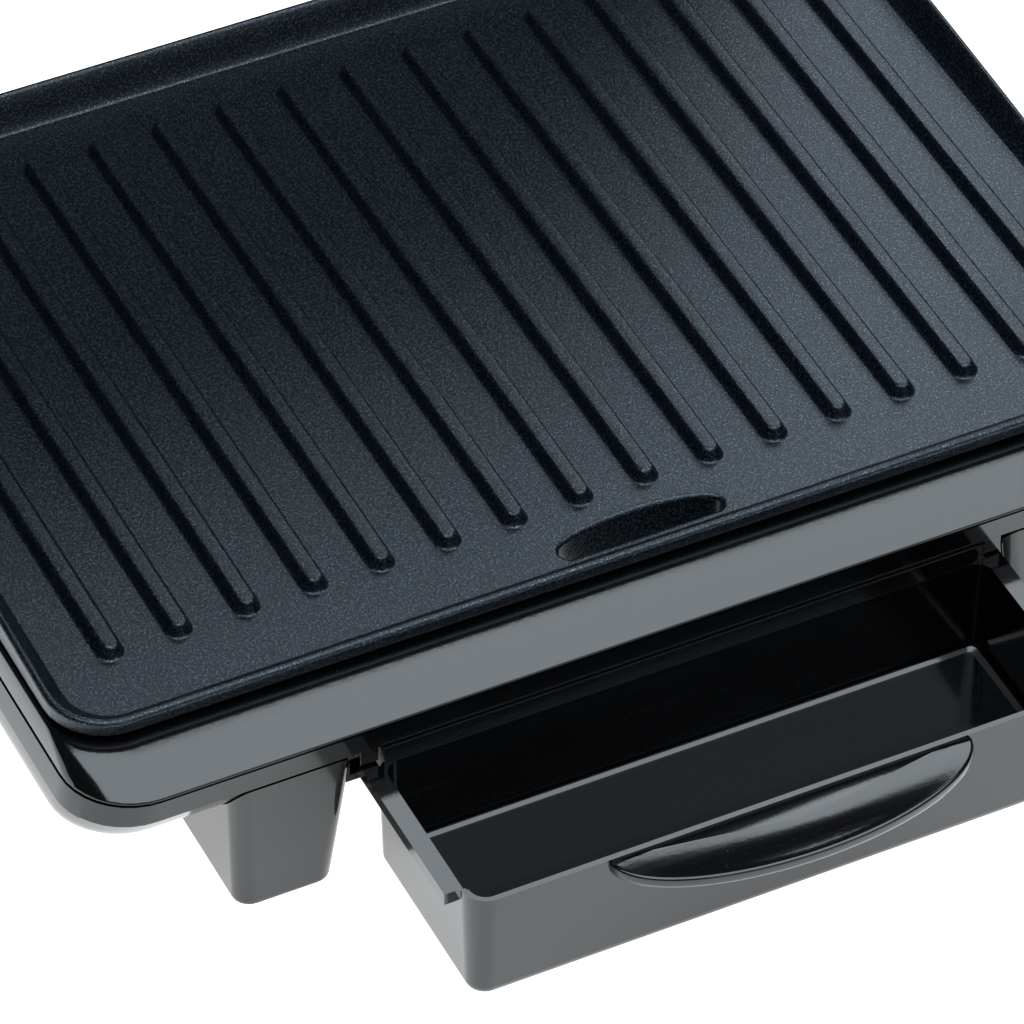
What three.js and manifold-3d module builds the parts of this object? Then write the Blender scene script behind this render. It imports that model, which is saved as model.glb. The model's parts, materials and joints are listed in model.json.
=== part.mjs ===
// Panini press with its lid raised and its drip tray pulled out, in millimetres, +Z up.
// +X is the user's right, -Y is the front. The origin is on the table, at the centre of the object's box.
import * as THREE from "three";
import { mergeVertices } from "three/addons/utils/BufferGeometryUtils.js";
import Module from "manifold-3d";

const wasm = await Module();
wasm.setup();

// ---------- driving dimensions ----------
const PITCH = 16.5; // distance between two ribs of the grill plates
const RIBS = 16;
const RIB_WIDTH = 5.4;
const RIB_HEIGHT = 3.2;
const GAP = 0.3; // clearance between pieces that touch
const WALL = 2.5; // thickness of the moulded shells

// Heights above the table.
const FLOOR = 56; // cooking surface of the lower plate
const FRAME_TOP = FLOOR - 0.2 * PITCH;
const SEAM = FLOOR - 0.6 * PITCH; // joint between the base frame and the base shell
const STRIP = FLOOR - 0.93 * PITCH; // lower edge of the thin front strip, over the tray
const SHELL_BOTTOM = FLOOR - 1.78 * PITCH;
const FOOT_BOTTOM = 1.5;

// Distances along Y from the front ends of the ribs.
const RIB_LENGTH = 9.75 * PITCH;
const PLATE_FRONT = -1.2 * PITCH;
const PLATE_BACK = 10.8 * PITCH;
const PLATE_HALF = 8.7 * PITCH;
const RIM_OVERHANG = 4; // how far the rim of the lower plate reaches past its body
const SPOUT_WALL = 1.8; // spout under the grease slot
const SPOUT_BOTTOM = FLOOR - 14.6;
const FRAME_WELL_HALF = PLATE_HALF - 3.4;
const FRAME_WELL_FRONT = PLATE_FRONT + 3.4;
const FRAME_WELL_BACK = PLATE_BACK - 3.4;
const BASE_FRONT = -2.12 * PITCH;
const BASE_BACK = 183;
const BASE_HALF = 8.8 * PITCH;

// Drip tray, where it stands when it is pulled out.
const TRAY_FRONT = -5.2 * PITCH;
const TRAY_BACK = -2.05 * PITCH;
const TRAY_HALF = 4.74 * PITCH;
const TRAY_BOTTOM = FLOOR - 2.93 * PITCH;
const TRAY_TOP = FLOOR - 1.05 * PITCH;
const TRAY_SIDE_TOP = TRAY_TOP - 3.3;
const RUNNER_HALF = 80.6;
const RUNNER_TAIL = 8.5; // length of each runner behind the tray, which stays in its rail
const BAY_HALF = 84.8; // half width of the opening that the tray slides into
const BAY_BACK = 20;
const BACK_WALL_HALF = 75.4; // tall middle of the tray's back wall, which passes between the rails
const RETURN_LENGTH = 5; // lips that run back from the ends of the tall back wall
const FOOT_INNER = 81; // inner side of a foot at its top
const RAIL_TAB = 76.3; // inner edge of the tab that holds the tray's side down
const RAIL_LIP = 79.3; // inner edge of the lip that carries the runner
const TONGUE_HALF = 45;
const TONGUE_TIP = -6.2 * PITCH;

// Hinge: the axis along X, and how far the lid stands open from closed.
const HINGE_Y = 202;
const HINGE_Z = 64;
const OPEN = THREE.MathUtils.degToRad(100);
const HINGE_LIFT = 10; // how far the floating hinge rises for a thick filling
const PIN_R = 4;
const ARM_IN = 147.5;
const ARM_OUT = 155.5;
const ARM_EYE = 13;
const ARM_TIP_R = 12;
const BAR_Y = -262; // handle bar, seen from the hinge axis with the lid closed
const BAR_Z = 46;

// Lid, seen from the hinge axis with the lid closed.
const LID_HALF = 144;
const LID_FRONT = -232;
const LID_BACK = -28;
const LID_SEAM = 10;
const LID_TOP = 44;
const TOP_PLATE_HALF = 8.2 * PITCH;
const TOP_PLATE_FRONT = -217;
const TOP_PLATE_BACK = -35.5;

const Y_CENTRE = 101.23; // middle of the whole object along Y, from the front ends of the ribs

// ---------- materials ----------
function finish(color, roughness, metalness) {
  return new THREE.MeshStandardMaterial({ color, roughness, metalness });
}
const gloss = () => finish(0x1b1c20, 0.18, 0.0);
const satin = () => finish(0x232429, 0.45, 0.0);
const coating = () => finish(0x20262f, 0.55, 0.2);
const rubber = () => finish(0x17171a, 0.9, 0.0);
const steel = () => finish(0x9a9da2, 0.35, 1.0);
const sheet = () => finish(0xb9bcc0, 0.3, 1.0);
const ceramic = () => finish(0xd9d4c8, 0.6, 0.0);
const lens = (color) => finish(color, 0.15, 0.0);

// ---------- solids ----------
function solid(geometry) {
  const bare = geometry.clone();
  bare.deleteAttribute("normal");
  bare.deleteAttribute("uv");
  const merged = mergeVertices(bare, 1e-4);
  return new wasm.Manifold(
    new wasm.Mesh({
      numProp: 3,
      vertProperties: new Float32Array(merged.attributes.position.array),
      triVerts: new Uint32Array(merged.index.array),
    }),
  );
}

function toGeometry(made) {
  const mesh = made.getMesh();
  const geometry = new THREE.BufferGeometry();
  geometry.setAttribute("position", new THREE.BufferAttribute(mesh.vertProperties, 3));
  geometry.setIndex(new THREE.BufferAttribute(mesh.triVerts, 1));
  geometry.computeVertexNormals();
  return geometry;
}

const cut = (body, ...tools) => tools.reduce((rest, tool) => rest.subtract(tool), body);
const join = (body, ...more) => more.reduce((sum, piece) => sum.add(piece), body);

// Outline of a rectangle with rounded corners, as a ring of points in XY.
function roundedRing({ x0, x1, y0, y1, r }, steps) {
  const shape = new THREE.Shape();
  shape.absarc(x1 - r, y0 + r, r, -Math.PI / 2, 0, false);
  shape.absarc(x1 - r, y1 - r, r, 0, Math.PI / 2, false);
  shape.absarc(x0 + r, y1 - r, r, Math.PI / 2, Math.PI, false);
  shape.absarc(x0 + r, y0 + r, r, Math.PI, Math.PI * 1.5, false);
  return shape.getPoints(steps);
}

// Solid skinned through rounded rectangles, listed from the bottom up. A section's z may be a function of y.
function loft(sections, steps = 3) {
  const rings = sections.map((section) =>
    roundedRing(section, steps).map((p) => {
      const z = typeof section.z === "function" ? section.z(p.y) : section.z;
      return [p.x, p.y, z];
    }),
  );
  const n = rings[0].length;
  const points = rings.flat();
  const faces = [];
  for (let k = 0; k + 1 < rings.length; k++) {
    for (let i = 0; i < n; i++) {
      const a = k * n + i;
      const b = k * n + ((i + 1) % n);
      faces.push([a, b, b + n], [a, b + n, a + n]);
    }
  }
  const top = (rings.length - 1) * n;
  for (let i = 1; i + 1 < n; i++) {
    faces.push([0, i + 1, i], [top, top + i, top + i + 1]);
  }
  const flat = faces.flatMap((face) => face.flatMap((i) => points[i]));
  const geometry = new THREE.BufferGeometry();
  geometry.setAttribute("position", new THREE.Float32BufferAttribute(flat, 3));
  return solid(geometry);
}

// Section of a loft that is centred on X, and a section moved sideways.
const level = (half, y0, y1, r, z) => ({ x0: -half, x1: half, y0, y1, r, z });
const shift = (s, x, y) => ({ ...s, x0: s.x0 + x, x1: s.x1 + x, y0: s.y0 + y, y1: s.y1 + y });

function box(x0, x1, y0, y1, z0, z1) {
  const geometry = new THREE.BoxGeometry(x1 - x0, y1 - y0, z1 - z0);
  return solid(geometry.translate((x0 + x1) / 2, (y0 + y1) / 2, (z0 + z1) / 2));
}

// Cylinder along X, Y or Z, from one end to the other.
function rod(axis, r, from, to, a, b, sides = 20) {
  const geometry = new THREE.CylinderGeometry(r, r, to - from, sides);
  const middle = (from + to) / 2;
  if (axis === "x") geometry.rotateZ(Math.PI / 2).translate(middle, a, b);
  if (axis === "y") geometry.translate(a, middle, b);
  if (axis === "z") geometry.rotateX(Math.PI / 2).translate(a, b, middle);
  return solid(geometry);
}

// Flat outline in the YZ plane, given as a THREE.Shape in (y, z), thickened along X.
function slabX(shape, x0, x1, curveSegments = 8) {
  const geometry = new THREE.ExtrudeGeometry(shape, {
    depth: x1 - x0,
    bevelEnabled: false,
    curveSegments,
  });
  geometry.rotateY(Math.PI / 2).rotateX(Math.PI / 2).translate(x0, 0, 0);
  return solid(geometry);
}

const polygon = (points) => new THREE.Shape(points.map(([a, b]) => new THREE.Vector2(a, b)));

// ---------- scene graph ----------
const press = new THREE.Group();
const base = new THREE.Group(); // Y counted from the front ends of the ribs
base.position.y = -Y_CENTRE;
press.add(base);
const lid = new THREE.Group(); // the lid as it lies closed, turned open about the hinge axis
lid.position.set(0, HINGE_Y, HINGE_Z);
lid.rotation.x = -OPEN;
base.add(lid);

// Adds a named piece. A piece made for the right side is turned into its left twin by side = -1.
function add(group, name, made, material, side = 1) {
  const mesh = new THREE.Mesh(toGeometry(made), material);
  mesh.name = name;
  mesh.scale.x = side;
  group.add(mesh);
}

const SIDES = [
  ["left", -1],
  ["right", 1],
];

// The solid between the planes x = side * a and x = side * b.
const sideBox = (side, a, b, ...rest) => {
  const ends = [side * a, side * b];
  return box(Math.min(...ends), Math.max(...ends), ...rest);
};

// ---------- grill plates ----------
// Low rounded ribs that stand on the level foot, upwards with up = 1 and downwards with up = -1.
function ribs(y0, foot, up) {
  const out = [];
  for (let i = 0; i < RIBS; i++) {
    const x = (i - (RIBS - 1) / 2) * PITCH;
    const half = RIB_WIDTH / 2;
    const inset = half * 0.45;
    const at = (by, z) => ({
      x0: x - half + by,
      x1: x + half - by,
      y0: y0 + by,
      y1: y0 + RIB_LENGTH - by,
      r: half - by - 0.01,
      z: foot + up * z,
    });
    const sections = [at(0, -1), at(0, RIB_HEIGHT * 0.45), at(inset, RIB_HEIGHT)];
    out.push(loft(up > 0 ? sections : sections.reverse(), 1));
  }
  return out;
}

// The rim is a low lip at the front and climbs to a tall one at the back.
function rimTop(y) {
  const along = (y - PLATE_FRONT) / (PLATE_BACK - PLATE_FRONT);
  return FLOOR + 2 + 7 * Math.sin((Math.PI / 2) * THREE.MathUtils.clamp(along, 0, 1));
}

function lowerPlate() {
  const body = loft([
    level(PLATE_HALF - RIM_OVERHANG, PLATE_FRONT + RIM_OVERHANG, PLATE_BACK - RIM_OVERHANG, 9, FLOOR - 6),
    level(PLATE_HALF - RIM_OVERHANG, PLATE_FRONT + RIM_OVERHANG, PLATE_BACK - RIM_OVERHANG, 9, FLOOR - 2.2),
    level(PLATE_HALF, PLATE_FRONT, PLATE_BACK, 14.6, FLOOR - 2.1),
    level(PLATE_HALF, PLATE_FRONT, PLATE_BACK, 14.6, (y) => rimTop(y) - 0.9),
    level(PLATE_HALF - 0.9, PLATE_FRONT + 0.9, PLATE_BACK - 0.9, 13.7, rimTop),
  ]);
  const pan = loft([
    level(PLATE_HALF - 5.5, PLATE_FRONT + 3.6, PLATE_BACK - 8, 9, FLOOR),
    level(PLATE_HALF - 2.2, PLATE_FRONT + 2, PLATE_BACK - 2.4, 12.4, (y) => rimTop(y) + 0.01),
    level(PLATE_HALF - 2.2, PLATE_FRONT + 2, PLATE_BACK - 2.4, 12.4, (y) => rimTop(y) + 4),
  ]);
  const under = loft([
    level(PLATE_HALF - 8.5, PLATE_FRONT + 8.5, PLATE_BACK - 8.5, 7, FLOOR - 7),
    level(PLATE_HALF - 9, PLATE_FRONT + 9, PLATE_BACK - 9, 7, FLOOR - 4),
  ]);
  const spout = greaseSlot(SPOUT_WALL, SPOUT_BOTTOM, FLOOR - 1);
  const shell = join(cut(body, pan, under), spout);
  return join(cut(shell, greaseSlot(0, SPOUT_BOTTOM - 1, FLOOR + 8)), ...ribs(0, FLOOR, 1));
}

// Crescent of the grease slot, straight along the lip and arched towards the ribs.
function greaseSlot(grow, from, to) {
  const half = 1.24 * PITCH + grow;
  const front = -0.84 * PITCH - grow;
  const tip = -0.72 * PITCH;
  const arch = -0.34 * PITCH + grow * 1.3;
  const shape = new THREE.Shape();
  shape.moveTo(-half + 2, front);
  shape.lineTo(half - 2, front);
  shape.quadraticCurveTo(half, front, half, tip);
  shape.bezierCurveTo(half * 0.7, arch, half * 0.35, arch, 0, arch);
  shape.bezierCurveTo(-half * 0.35, arch, -half * 0.7, arch, -half, tip);
  shape.quadraticCurveTo(-half, front, -half + 2, front);
  const options = { depth: to - from, bevelEnabled: false, curveSegments: 6 };
  const geometry = new THREE.ExtrudeGeometry(shape, options);
  return solid(geometry.translate(0, 0, from));
}

function upperPlate() {
  const floor = -0.8;
  const slab = loft([
    level(TOP_PLATE_HALF - 1.5, TOP_PLATE_FRONT + 1.5, TOP_PLATE_BACK - 1.5, 12, floor),
    level(TOP_PLATE_HALF, TOP_PLATE_FRONT, TOP_PLATE_BACK, 13.5, floor + 1.5),
    level(TOP_PLATE_HALF, TOP_PLATE_FRONT, TOP_PLATE_BACK, 13.5, floor + 5),
  ]);
  return join(slab, ...ribs(-HINGE_Y, floor, -1));
}

// U-shaped tubular heating element, with its two ends near the back.
function heater(half, front, back, z) {
  const points = [
    [-half * 0.35, back, z],
    [-half, back, z],
    [-half, front, z],
    [half, front, z],
    [half, back, z],
    [half * 0.35, back, z],
  ];
  const path = new THREE.CurvePath();
  const corner = 16;
  const vectors = points.map((p) => new THREE.Vector3(...p));
  let last = vectors[0];
  for (let i = 1; i + 1 < vectors.length; i++) {
    const before = vectors[i - 1].clone().sub(vectors[i]).setLength(corner).add(vectors[i]);
    const after = vectors[i + 1].clone().sub(vectors[i]).setLength(corner).add(vectors[i]);
    path.add(new THREE.LineCurve3(last, before));
    path.add(new THREE.QuadraticBezierCurve3(before, vectors[i], after));
    last = after;
  }
  path.add(new THREE.LineCurve3(last, vectors[vectors.length - 1]));
  const section = new THREE.Shape().absarc(0, 0, 3.2, 0, Math.PI * 2);
  return solid(new THREE.ExtrudeGeometry(section, { extrudePath: path, steps: 36, curveSegments: 3 }));
}

add(base, "lower_plate", lowerPlate(), coating());
add(base, "lower_heater", heater(100, 20, 140, FLOOR - 7.8), steel());

// ---------- base housing ----------
function baseFrame() {
  const outer = loft([
    level(BASE_HALF, BASE_FRONT, BASE_BACK, 17, SEAM + GAP),
    level(BASE_HALF - 0.3, BASE_FRONT + 5.5, BASE_BACK - 0.2, 15, SEAM + 4.2),
    level(BASE_HALF - 1, PLATE_FRONT - 1.2, BASE_BACK - 0.6, 14, FRAME_TOP),
  ]);
  const well = loft([
    level(FRAME_WELL_HALF, FRAME_WELL_FRONT, FRAME_WELL_BACK, 10, SEAM - 1),
    level(FRAME_WELL_HALF, FRAME_WELL_FRONT, FRAME_WELL_BACK, 10, FRAME_TOP + 1),
  ]);
  return cut(outer, well);
}

// Hand hold along each side, cut up into the lower edge of the base shell.
function handHold(side, grow) {
  const outline = polygon([
    [6 - grow, SHELL_BOTTOM - 3],
    [18 - grow, STRIP - 2 + grow],
    [150 + grow, STRIP - 2 + grow],
    [162 + grow, SHELL_BOTTOM - 3],
  ]);
  const near = side * (BASE_HALF - 9 - grow);
  const far = side * (BASE_HALF + 6);
  return slabX(outline, Math.min(near, far), Math.max(near, far));
}

function shellForm(inset) {
  const at = (half, front, back, r, z) =>
    level(half - inset, front + inset, back - inset, Math.max(r - inset, 3), z);
  const floor = SHELL_BOTTOM + inset;
  return loft([
    at(BASE_HALF - 8, -20.5, BASE_BACK - 8, 14, floor),
    at(BASE_HALF - 2.5, -24.5, BASE_BACK - 3, 16, Math.max(SHELL_BOTTOM + 1.8, floor + 0.2)),
    at(BASE_HALF + 1.2, -30, BASE_BACK - 0.5, 17, SHELL_BOTTOM + 7),
    at(BASE_HALF + 1.6, -35, BASE_BACK, 17, STRIP),
    at(BASE_HALF + 0.4, -35, BASE_BACK, 17, inset ? SEAM + 1 : SEAM),
  ]);
}

// Foot block on the right side, hollowed beside the tray for the rail that runs along it.
function foot(front, back) {
  const block = loft([
    { x0: 87, x1: 109, y0: front + 2, y1: back - 4, r: 3.5, z: FOOT_BOTTOM },
    { x0: 86, x1: 110, y0: front + 0.8, y1: back - 3, r: 4.4, z: FOOT_BOTTOM + 1.4 },
    { x0: FOOT_INNER, x1: 111.2, y0: front, y1: back, r: 4.4, z: STRIP - GAP },
  ]);
  return cut(block, shellForm(-GAP), box(70, BAY_HALF, front + 2.2, back + 1, SHELL_BOTTOM, STRIP));
}

const trayBay = box(-BAY_HALF, BAY_HALF, -45, BAY_BACK, 15, STRIP);
const coverOpening = box(-106, 106, 46, 128, 20, 30);
const GLAND_Z = 36;
const glandHole = rod("y", 6.3, BASE_BACK - 15, BASE_BACK + 5, 0, GLAND_Z);

function baseShell() {
  const outer = cut(shellForm(0), ...SIDES.map(([, side]) => handHold(side, 0)));
  const inner = cut(shellForm(WALL), ...SIDES.map(([, side]) => handHold(side, WALL)));
  return cut(outer, inner, trayBay, coverOpening, glandHole);
}

add(base, "base_frame", baseFrame(), gloss());
add(base, "base_shell", baseShell(), gloss());
// Bush in the back wall that the mains lead passes through.
function cordGland() {
  const neck = rod("y", 6, BASE_BACK - 4.5, BASE_BACK + 11, 0, GLAND_Z);
  const collar = rod("y", 9, BASE_BACK + GAP, BASE_BACK + 4, 0, GLAND_Z);
  return cut(join(neck, collar), rod("y", 3.6, BASE_BACK - 10, BASE_BACK + 15, 0, GLAND_Z));
}

add(
  base,
  "bottom_cover",
  loft([level(119, 35, 139, 6, SHELL_BOTTOM - GAP - 2.2), level(120, 34, 140, 7, SHELL_BOTTOM - GAP)], 3),
  satin(),
);
add(
  base,
  "lower_reflector",
  cut(
    loft([level(122, 4, 156, 8, SEAM - 3), level(126, 0, 160, 10, SEAM + 0.9)]),
    loft([level(121, 5, 155, 7, SEAM - 2), level(126, 0, 160, 9, SEAM + 1.5)]),
  ),
  sheet(),
);
add(base, "lower_thermostat", rod("z", 9, 32, SEAM - 3.3, 60, 100), ceramic());
add(base, "thermal_fuse", rod("y", 3, 88, 114, -60, 37, 12), steel());
add(base, "terminal_block", box(-20, 20, 128, 140, 31, 40), ceramic());
add(base, "cord_gland", cordGland(), rubber());

const FEET = [
  ["front", -34.5, 5],
  ["rear", 143, 181],
];
for (const [place, y0, y1] of FEET) {
  for (const [hand, side] of SIDES) {
    add(base, `${place}_${hand}_foot`, foot(y0, y1), gloss(), side);
    const pad = rod("z", 7, 0, FOOT_BOTTOM - GAP, side * 98, (y0 + y1) / 2, 24);
    add(base, `${place}_${hand}_foot_pad`, pad, rubber());
  }
}

// Channel on the right side that carries a runner of the tray.
function trayRail() {
  const front = BASE_FRONT + 3;
  const back = BAY_BACK - 1;
  const low = TRAY_SIDE_TOP - 6;
  const web = box(82, BAY_HALF - GAP, front, back, low, STRIP - GAP);
  const lip = box(RAIL_LIP, 83, front, back, low, low + 2);
  const tab = box(RAIL_TAB, 83, front, back, TRAY_SIDE_TOP + 0.8, STRIP - GAP);
  const nose = box(RAIL_TAB, FOOT_INNER - GAP, BASE_FRONT + GAP, front + 1, TRAY_SIDE_TOP + 0.8, STRIP - GAP);
  return join(web, lip, tab, nose);
}
for (const [hand, side] of SIDES) add(base, `${hand}_tray_rail`, trayRail(), gloss(), side);

const SCREWS = [
  ["front_left", -113, 40],
  ["front_right", 113, 40],
  ["rear_left", -113, 134],
  ["rear_right", 113, 134],
];

// Domed screw head, seen from below.
function screwHead(x, y, face) {
  const sections = [
    level(2, -2, 2, 1.99, face - 1.7),
    level(3, -3, 3, 2.99, face - 1),
    level(3, -3, 3, 2.99, face),
  ];
  return loft(sections.map((section) => shift(section, x, y)), 3);
}
for (const [place, x, y] of SCREWS) {
  add(base, `base_screw_${place}`, screwHead(x, y, SHELL_BOTTOM - 2 * GAP - 2.2), steel());
}

// ---------- drip tray ----------
function trayForm(inset, bottom, top) {
  const at = (half, front, back, r, z) => level(half - inset, front + inset, back - inset, r - inset, z);
  return loft([
    at(TRAY_HALF - 2.6, TRAY_FRONT + 2, TRAY_BACK - 1.8, 4, bottom),
    at(TRAY_HALF - 1.2, TRAY_FRONT + 0.6, TRAY_BACK - 1, 5, bottom + 1.6),
    at(TRAY_HALF, TRAY_FRONT, TRAY_BACK, 6, top),
  ]);
}

function trayTongue() {
  const shape = new THREE.Shape();
  const root = TRAY_FRONT + 1;
  shape.moveTo(-TONGUE_HALF, root + 1.2);
  shape.lineTo(-TONGUE_HALF, root);
  shape.absellipse(0, root, TONGUE_HALF, root - TONGUE_TIP, Math.PI, Math.PI * 2, false);
  shape.lineTo(TONGUE_HALF, root + 1.2);
  const geometry = new THREE.ExtrudeGeometry(shape, { depth: 4, bevelEnabled: false, curveSegments: 12 });
  return solid(geometry.translate(0, 0, TRAY_TOP - 4));
}

function dripTray() {
  const wall = 1.9;
  const outside = trayForm(0, TRAY_BOTTOM, TRAY_TOP);
  const inside = trayForm(wall, TRAY_BOTTOM + wall, TRAY_TOP + 0.5);
  const lowSides = box(-90, 90, TRAY_FRONT + 6, TRAY_BACK + 5, TRAY_SIDE_TOP, TRAY_TOP + 2);
  const runnerLow = TRAY_SIDE_TOP - 3.3;
  const runners = SIDES.map(([, side]) =>
    sideBox(side, TRAY_HALF - 1.6, RUNNER_HALF, TRAY_FRONT + 9, TRAY_BACK + RUNNER_TAIL, runnerLow, TRAY_SIDE_TOP),
  );
  const walls = join(outside, trayTongue(), ...runners);
  const back = TRAY_BACK - 0.1;
  const low = TRAY_SIDE_TOP - 4;
  const backTop = STRIP - 1.5 * GAP;
  const backWall = box(-BACK_WALL_HALF, BACK_WALL_HALF, back - wall, back, low, backTop);
  const returns = SIDES.map(([, side]) =>
    sideBox(side, BACK_WALL_HALF - wall, BACK_WALL_HALF, back - 1, back + RETURN_LENGTH, low, backTop),
  );
  return join(cut(walls, inside, lowSides), backWall, ...returns);
}
add(base, "drip_tray", dripTray(), gloss());

// ---------- floating hinge ----------
const POST_BACK = HINGE_Y + 14;
const SLOT_FRONT = HINGE_Y - 6;
const SLOT_BACK = HINGE_Y + 6;
const POST_TOP = HINGE_Z + HINGE_LIFT + 12;
function hingePost() {
  const block = loft(
    [
      { x0: 118, x1: 146, y0: BASE_BACK + GAP, y1: POST_BACK, r: 3, z: 30 },
      { x0: 118, x1: 146, y0: BASE_BACK + GAP + 4, y1: POST_BACK, r: 3, z: POST_TOP - 3 },
      { x0: 120, x1: 144, y0: BASE_BACK + GAP + 7, y1: POST_BACK - 2, r: 3, z: POST_TOP },
    ],
    3,
  );
  const slot = box(110, 150, SLOT_FRONT, SLOT_BACK, HINGE_Z - 7, HINGE_Z + HINGE_LIFT + 7);
  return cut(block, slot);
}
for (const [hand, side] of SIDES) {
  add(base, `${hand}_hinge_post`, hingePost(), satin(), side);
  const slider = box(120, 145.5, SLOT_FRONT + GAP, SLOT_BACK - GAP, HINGE_Z - 6.6, HINGE_Z + 6.6);
  const bore = rod("x", PIN_R + GAP, 110, 160, HINGE_Y, HINGE_Z);
  add(base, `${hand}_hinge_slider`, cut(slider, bore), satin(), side);
  const pin = join(
    rod("x", PIN_R, 124, ARM_OUT + 0.6, HINGE_Y, HINGE_Z),
    rod("x", PIN_R + 3, ARM_OUT + GAP, ARM_OUT + 2, HINGE_Y, HINGE_Z),
  );
  add(base, `${hand}_hinge_pin`, pin, steel(), side);
}

// ---------- lid ----------
function lidFrame() {
  const outer = loft([
    level(LID_HALF - 3, LID_FRONT + 4, LID_BACK - 3, 14, 2),
    level(LID_HALF, LID_FRONT, LID_BACK, 17, 5.5),
    level(LID_HALF, LID_FRONT, LID_BACK, 17, LID_SEAM),
  ]);
  const hole = loft([
    level(TOP_PLATE_HALF + 0.6, TOP_PLATE_FRONT - 0.6, TOP_PLATE_BACK + 0.6, 14, 0),
    level(TOP_PLATE_HALF + 0.6, TOP_PLATE_FRONT - 0.6, TOP_PLATE_BACK + 0.6, 14, LID_SEAM + 1),
  ]);
  return cut(outer, hole);
}

function coverForm(inset) {
  const at = (half, front, back, r, z) =>
    level(half - inset, front + inset, back - inset, Math.max(r - inset, 3), z);
  return loft([
    at(LID_HALF, LID_FRONT, LID_BACK, 17, inset ? LID_SEAM - 1 : LID_SEAM + GAP),
    at(LID_HALF - 0.8, LID_FRONT + 3, LID_BACK - 1, 17, 22),
    at(LID_HALF - 5, LID_FRONT + 17, LID_BACK - 5, 17, 33 - inset * 0.4),
    at(LID_HALF - 14, LID_FRONT + 36, LID_BACK - 13, 18, 41 - inset * 0.8),
    at(LID_HALF - 28, LID_FRONT + 58, LID_BACK - 27, 18, LID_TOP - inset),
  ]);
}

const LAMPS = [
  ["power_lamp", -9, 0xc62f22],
  ["ready_lamp", 9, 0x3f9d46],
];
const LAMP_Y = -165;

function lidCover() {
  const holes = LAMPS.map(([, x]) => rod("z", 4.3, LID_TOP - 6, LID_TOP + 2, x, LAMP_Y, 24));
  return cut(coverForm(0), coverForm(WALL), ...holes);
}

function arm(hand) {
  const shape = new THREE.Shape();
  shape.moveTo(-6, -11.5);
  shape.absarc(0, 0, ARM_EYE, THREE.MathUtils.degToRad(-118), THREE.MathUtils.degToRad(90), false);
  shape.lineTo(-26, 27);
  shape.lineTo(-190, 30);
  shape.lineTo(BAR_Y + 8, BAR_Z + 9);
  shape.absarc(BAR_Y, BAR_Z, ARM_TIP_R, THREE.MathUtils.degToRad(48), THREE.MathUtils.degToRad(240), false);
  shape.lineTo(-192, 13);
  shape.lineTo(-34, 10);
  shape.closePath();
  const plate = slabX(shape, ARM_IN, ARM_OUT, 8);
  const pads = [-60, -180].map((y) => rod("x", 8, LID_HALF + GAP, ARM_IN + 1, y, 20));
  const bore = rod("x", PIN_R + GAP, 140, 160, 0, 0);
  const whole = cut(join(plate, ...pads), bore);
  return hand === "right" ? cut(whole, rod("x", 6.3, ARM_OUT - 6, ARM_OUT + 1, -48, 20)) : whole;
}

function handleBar() {
  const section = new THREE.Shape();
  section.absellipse(BAR_Y, BAR_Z, 11.5, 9, 0, Math.PI * 2);
  return slabX(section, -ARM_IN + GAP, ARM_IN - GAP, 14);
}

add(lid, "lid_frame", lidFrame(), gloss());
add(lid, "lid_cover", lidCover(), gloss());
add(lid, "upper_plate", upperPlate(), coating());
add(lid, "upper_heater", heater(100, TOP_PLATE_FRONT + 34, TOP_PLATE_BACK - 30, 8), steel());
add(
  lid,
  "upper_reflector",
  loft([12, 13.2].map((z) => level(124, TOP_PLATE_FRONT + 8, TOP_PLATE_BACK - 8, 8, z))),
  sheet(),
);
add(lid, "upper_thermostat", rod("z", 9, 13.6, 24, 50, -120), ceramic());
add(lid, "handle_bar", handleBar(), satin());
for (const [hand, side] of SIDES) {
  add(lid, `${hand}_arm`, arm(hand), gloss(), side);
  const cap = join(
    rod("x", 9, ARM_OUT + GAP, ARM_OUT + 1.6, BAR_Y, BAR_Z, 24),
    rod("x", 7.6, ARM_OUT + GAP, ARM_OUT + 2.6, BAR_Y, BAR_Z, 24),
  );
  add(lid, `${hand}_handle_cap`, cap, satin(), side);
}
for (const [name, x, color] of LAMPS) {
  add(lid, name, rod("z", 4, LID_TOP - 5, LID_TOP + 1.2, x, LAMP_Y, 24), lens(color));
}
add(lid, "hinge_release_button", rod("x", 6, ARM_OUT - 3, ARM_OUT + 2.6, -48, 20, 24), satin());

export default press;
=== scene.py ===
"""Visible pieces and finishes of a contact grill, built around its working frame."""

import json
import math

import bmesh
import bpy
from mathutils import Matrix, Vector


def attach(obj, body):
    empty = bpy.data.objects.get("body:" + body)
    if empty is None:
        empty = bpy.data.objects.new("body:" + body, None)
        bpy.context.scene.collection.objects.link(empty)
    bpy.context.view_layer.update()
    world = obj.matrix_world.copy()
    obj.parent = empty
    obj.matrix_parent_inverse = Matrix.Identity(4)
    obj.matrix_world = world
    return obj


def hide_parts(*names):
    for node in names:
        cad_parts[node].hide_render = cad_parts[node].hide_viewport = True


bl_info = {
    "name": "Contact Grill",
    "version": (1, 0, 0),
    "blender": (4, 5, 0),
    "location": "View3D > Sidebar > Grill",
    "description": "Builds a ribbed contact grill with a raised lid and a drip tray",
    "category": "Object",
}

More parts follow.
